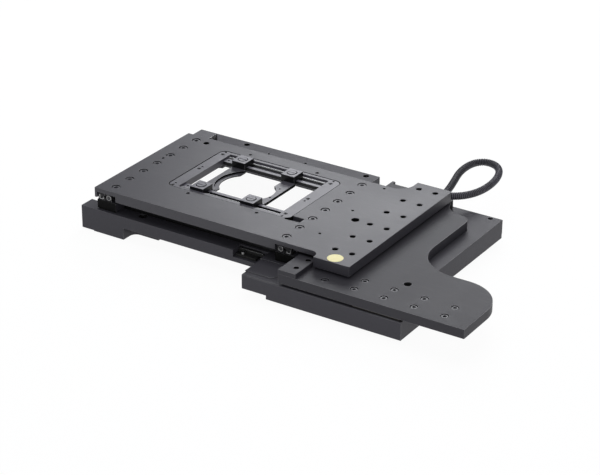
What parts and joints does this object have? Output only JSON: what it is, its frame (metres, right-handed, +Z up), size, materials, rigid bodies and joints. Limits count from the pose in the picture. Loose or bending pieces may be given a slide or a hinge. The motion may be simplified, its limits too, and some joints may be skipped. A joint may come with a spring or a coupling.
{
  "type": "motorized linear stage",
  "caption": "Flat two-axis motorized microscope stage on crossed roller guides, with stepped plates, a side arm, a ribbed cable loop and a lift-out specimen insert.",
  "frame": {"origin": "centre of the footprint of all pieces but the free conduit, on the plane that the runners rest on", "axes": "+X along the long side towards the arm's free end, +Y to the back, +Z up"},
  "size_m": [0.4998, 0.3684, 0.0558],
  "materials": {
    "dark_anodized": "dark grey anodized, fine milled, satin",
    "grey_anodized": "mid grey anodized, satin",
    "light_anodized": "light grey anodized, satin",
    "ground_steel": "ground bearing steel",
    "bright_steel": "bright zinc plated steel",
    "black_steel": "black oxide steel",
    "magnet": "nickel plated magnet",
    "epoxy": "cast epoxy over copper winding",
    "board": "solder mask",
    "cage": "stamped brass cage",
    "scale_tape": "graduated steel tape",
    "head_black": "black moulded housing",
    "rubber": "black rubber",
    "conduit_black": "black ribbed conduit"
  },
  "bodies": {
    "base": {"base_plate": "dark_anodized", "motor_housing": "dark_anodized", "x_coil": "epoxy", "control_board": "board", "x_fixed_rail_front": "ground_steel", "x_fixed_rail_rear": "ground_steel", "x_rail_screws": "black_steel", "base_screw_front": "black_steel", "stop_bracket": "black_steel", "stop_screw": "bright_steel", "stop_strip": "bright_steel", "stop_bumper": "rubber", "x_read_head": "head_black"},
    "x_cage": {"x_cage_front": "cage", "x_cage_rear": "cage", "x_rollers_front": "ground_steel", "x_rollers_rear": "ground_steel"},
    "carriage": {"carriage_plate": "dark_anodized", "stop_block": "dark_anodized", "stop_block_screws": "black_steel", "x_moving_rail_front": "ground_steel", "x_moving_rail_rear": "ground_steel", "x_magnet_yoke": "ground_steel", "x_magnets": "magnet", "arm_screws": "black_steel", "x_scale": "scale_tape", "y_fixed_rail_left": "ground_steel", "y_fixed_rail_right": "ground_steel", "y_rail_screws": "black_steel", "y_coil": "epoxy", "y_read_head": "head_black", "left_bracket": "bright_steel", "left_bracket_screws": "bright_steel", "carriage_gland": "head_black", "conduit": "conduit_black"},
    "y_cage": {"y_cage_left": "cage", "y_cage_right": "cage", "y_rollers_left": "ground_steel", "y_rollers_right": "ground_steel"},
    "top": {"top_plate": "grey_anodized", "y_moving_rail_left": "ground_steel", "y_moving_rail_right": "ground_steel", "plate_screws": "black_steel", "y_magnet_yoke": "ground_steel", "y_magnets": "magnet", "y_scale": "scale_tape", "set_screws": "black_steel", "tab_gland": "head_black"},
    "insert": {"insert_frame": "grey_anodized", "insert_bars": "dark_anodized", "insert_rods": "ground_steel", "insert_screws": "black_steel"},
    "left_clamp": {"left_jaw": "light_anodized", "left_blocks": "light_anodized"},
    "right_clamp": {"right_jaw": "light_anodized", "right_blocks": "light_anodized"},
    "lock_left_front": {"lock_screw_left_front": "bright_steel"},
    "lock_left_rear": {"lock_screw_left_rear": "bright_steel"},
    "lock_right_front": {"lock_screw_right_front": "bright_steel"},
    "lock_right_rear": {"lock_screw_right_rear": "bright_steel"}
  },
  "joints": [
    {"name": "x_travel", "type": "slide", "parent": "base", "child": "carriage", "axis": [1, 0, 0], "range_m": [-0.057, 0.057]},
    {"name": "x_cage_travel", "type": "slide", "parent": "base", "child": "x_cage", "axis": [1, 0, 0], "range_m": [-0.0286, 0.0286]},
    {"name": "y_travel", "type": "slide", "parent": "carriage", "child": "top", "axis": [0, 1, 0], "range_m": [-0.0375, 0.0375], "deforming": ["conduit"]},
    {"name": "y_cage_travel", "type": "slide", "parent": "carriage", "child": "y_cage", "axis": [0, 1, 0], "range_m": [-0.0188, 0.0188]},
    {"name": "insert_lift", "type": "slide", "parent": "top", "child": "insert", "axis": [0, 0, 1], "range_m": [0, 0.03]},
    {"name": "left_clamp_slide", "type": "slide", "parent": "insert", "child": "left_clamp", "axis": [1, 0, 0], "range_m": [-0.005, 0.018]},
    {"name": "right_clamp_slide", "type": "slide", "parent": "insert", "child": "right_clamp", "axis": [1, 0, 0], "range_m": [-0.02, 0.029]},
    {"name": "lock_left_front_turn", "type": "hinge", "parent": "left_clamp", "child": "lock_left_front", "pos_m": [-0.13485, -0.03645, 0.053], "axis": [0, 0, 1], "range_deg": [0, 180]},
    {"name": "lock_left_rear_turn", "type": "hinge", "parent": "left_clamp", "child": "lock_left_rear", "pos_m": [-0.13485, 0.04495, 0.053], "axis": [0, 0, 1], "range_deg": [0, 180]},
    {"name": "lock_right_front_turn", "type": "hinge", "parent": "right_clamp", "child": "lock_right_front", "pos_m": [-0.06915, -0.03645, 0.053], "axis": [0, 0, 1], "range_deg": [0, 180]},
    {"name": "lock_right_rear_turn", "type": "hinge", "parent": "right_clamp", "child": "lock_right_rear", "pos_m": [-0.06915, 0.04495, 0.053], "axis": [0, 0, 1], "range_deg": [0, 180]}
  ],
  "couplings": [
    {"joint": "x_cage_travel", "follows": "x_travel", "ratio": 0.5},
    {"joint": "y_cage_travel", "follows": "y_travel", "ratio": 0.5}
  ]
}
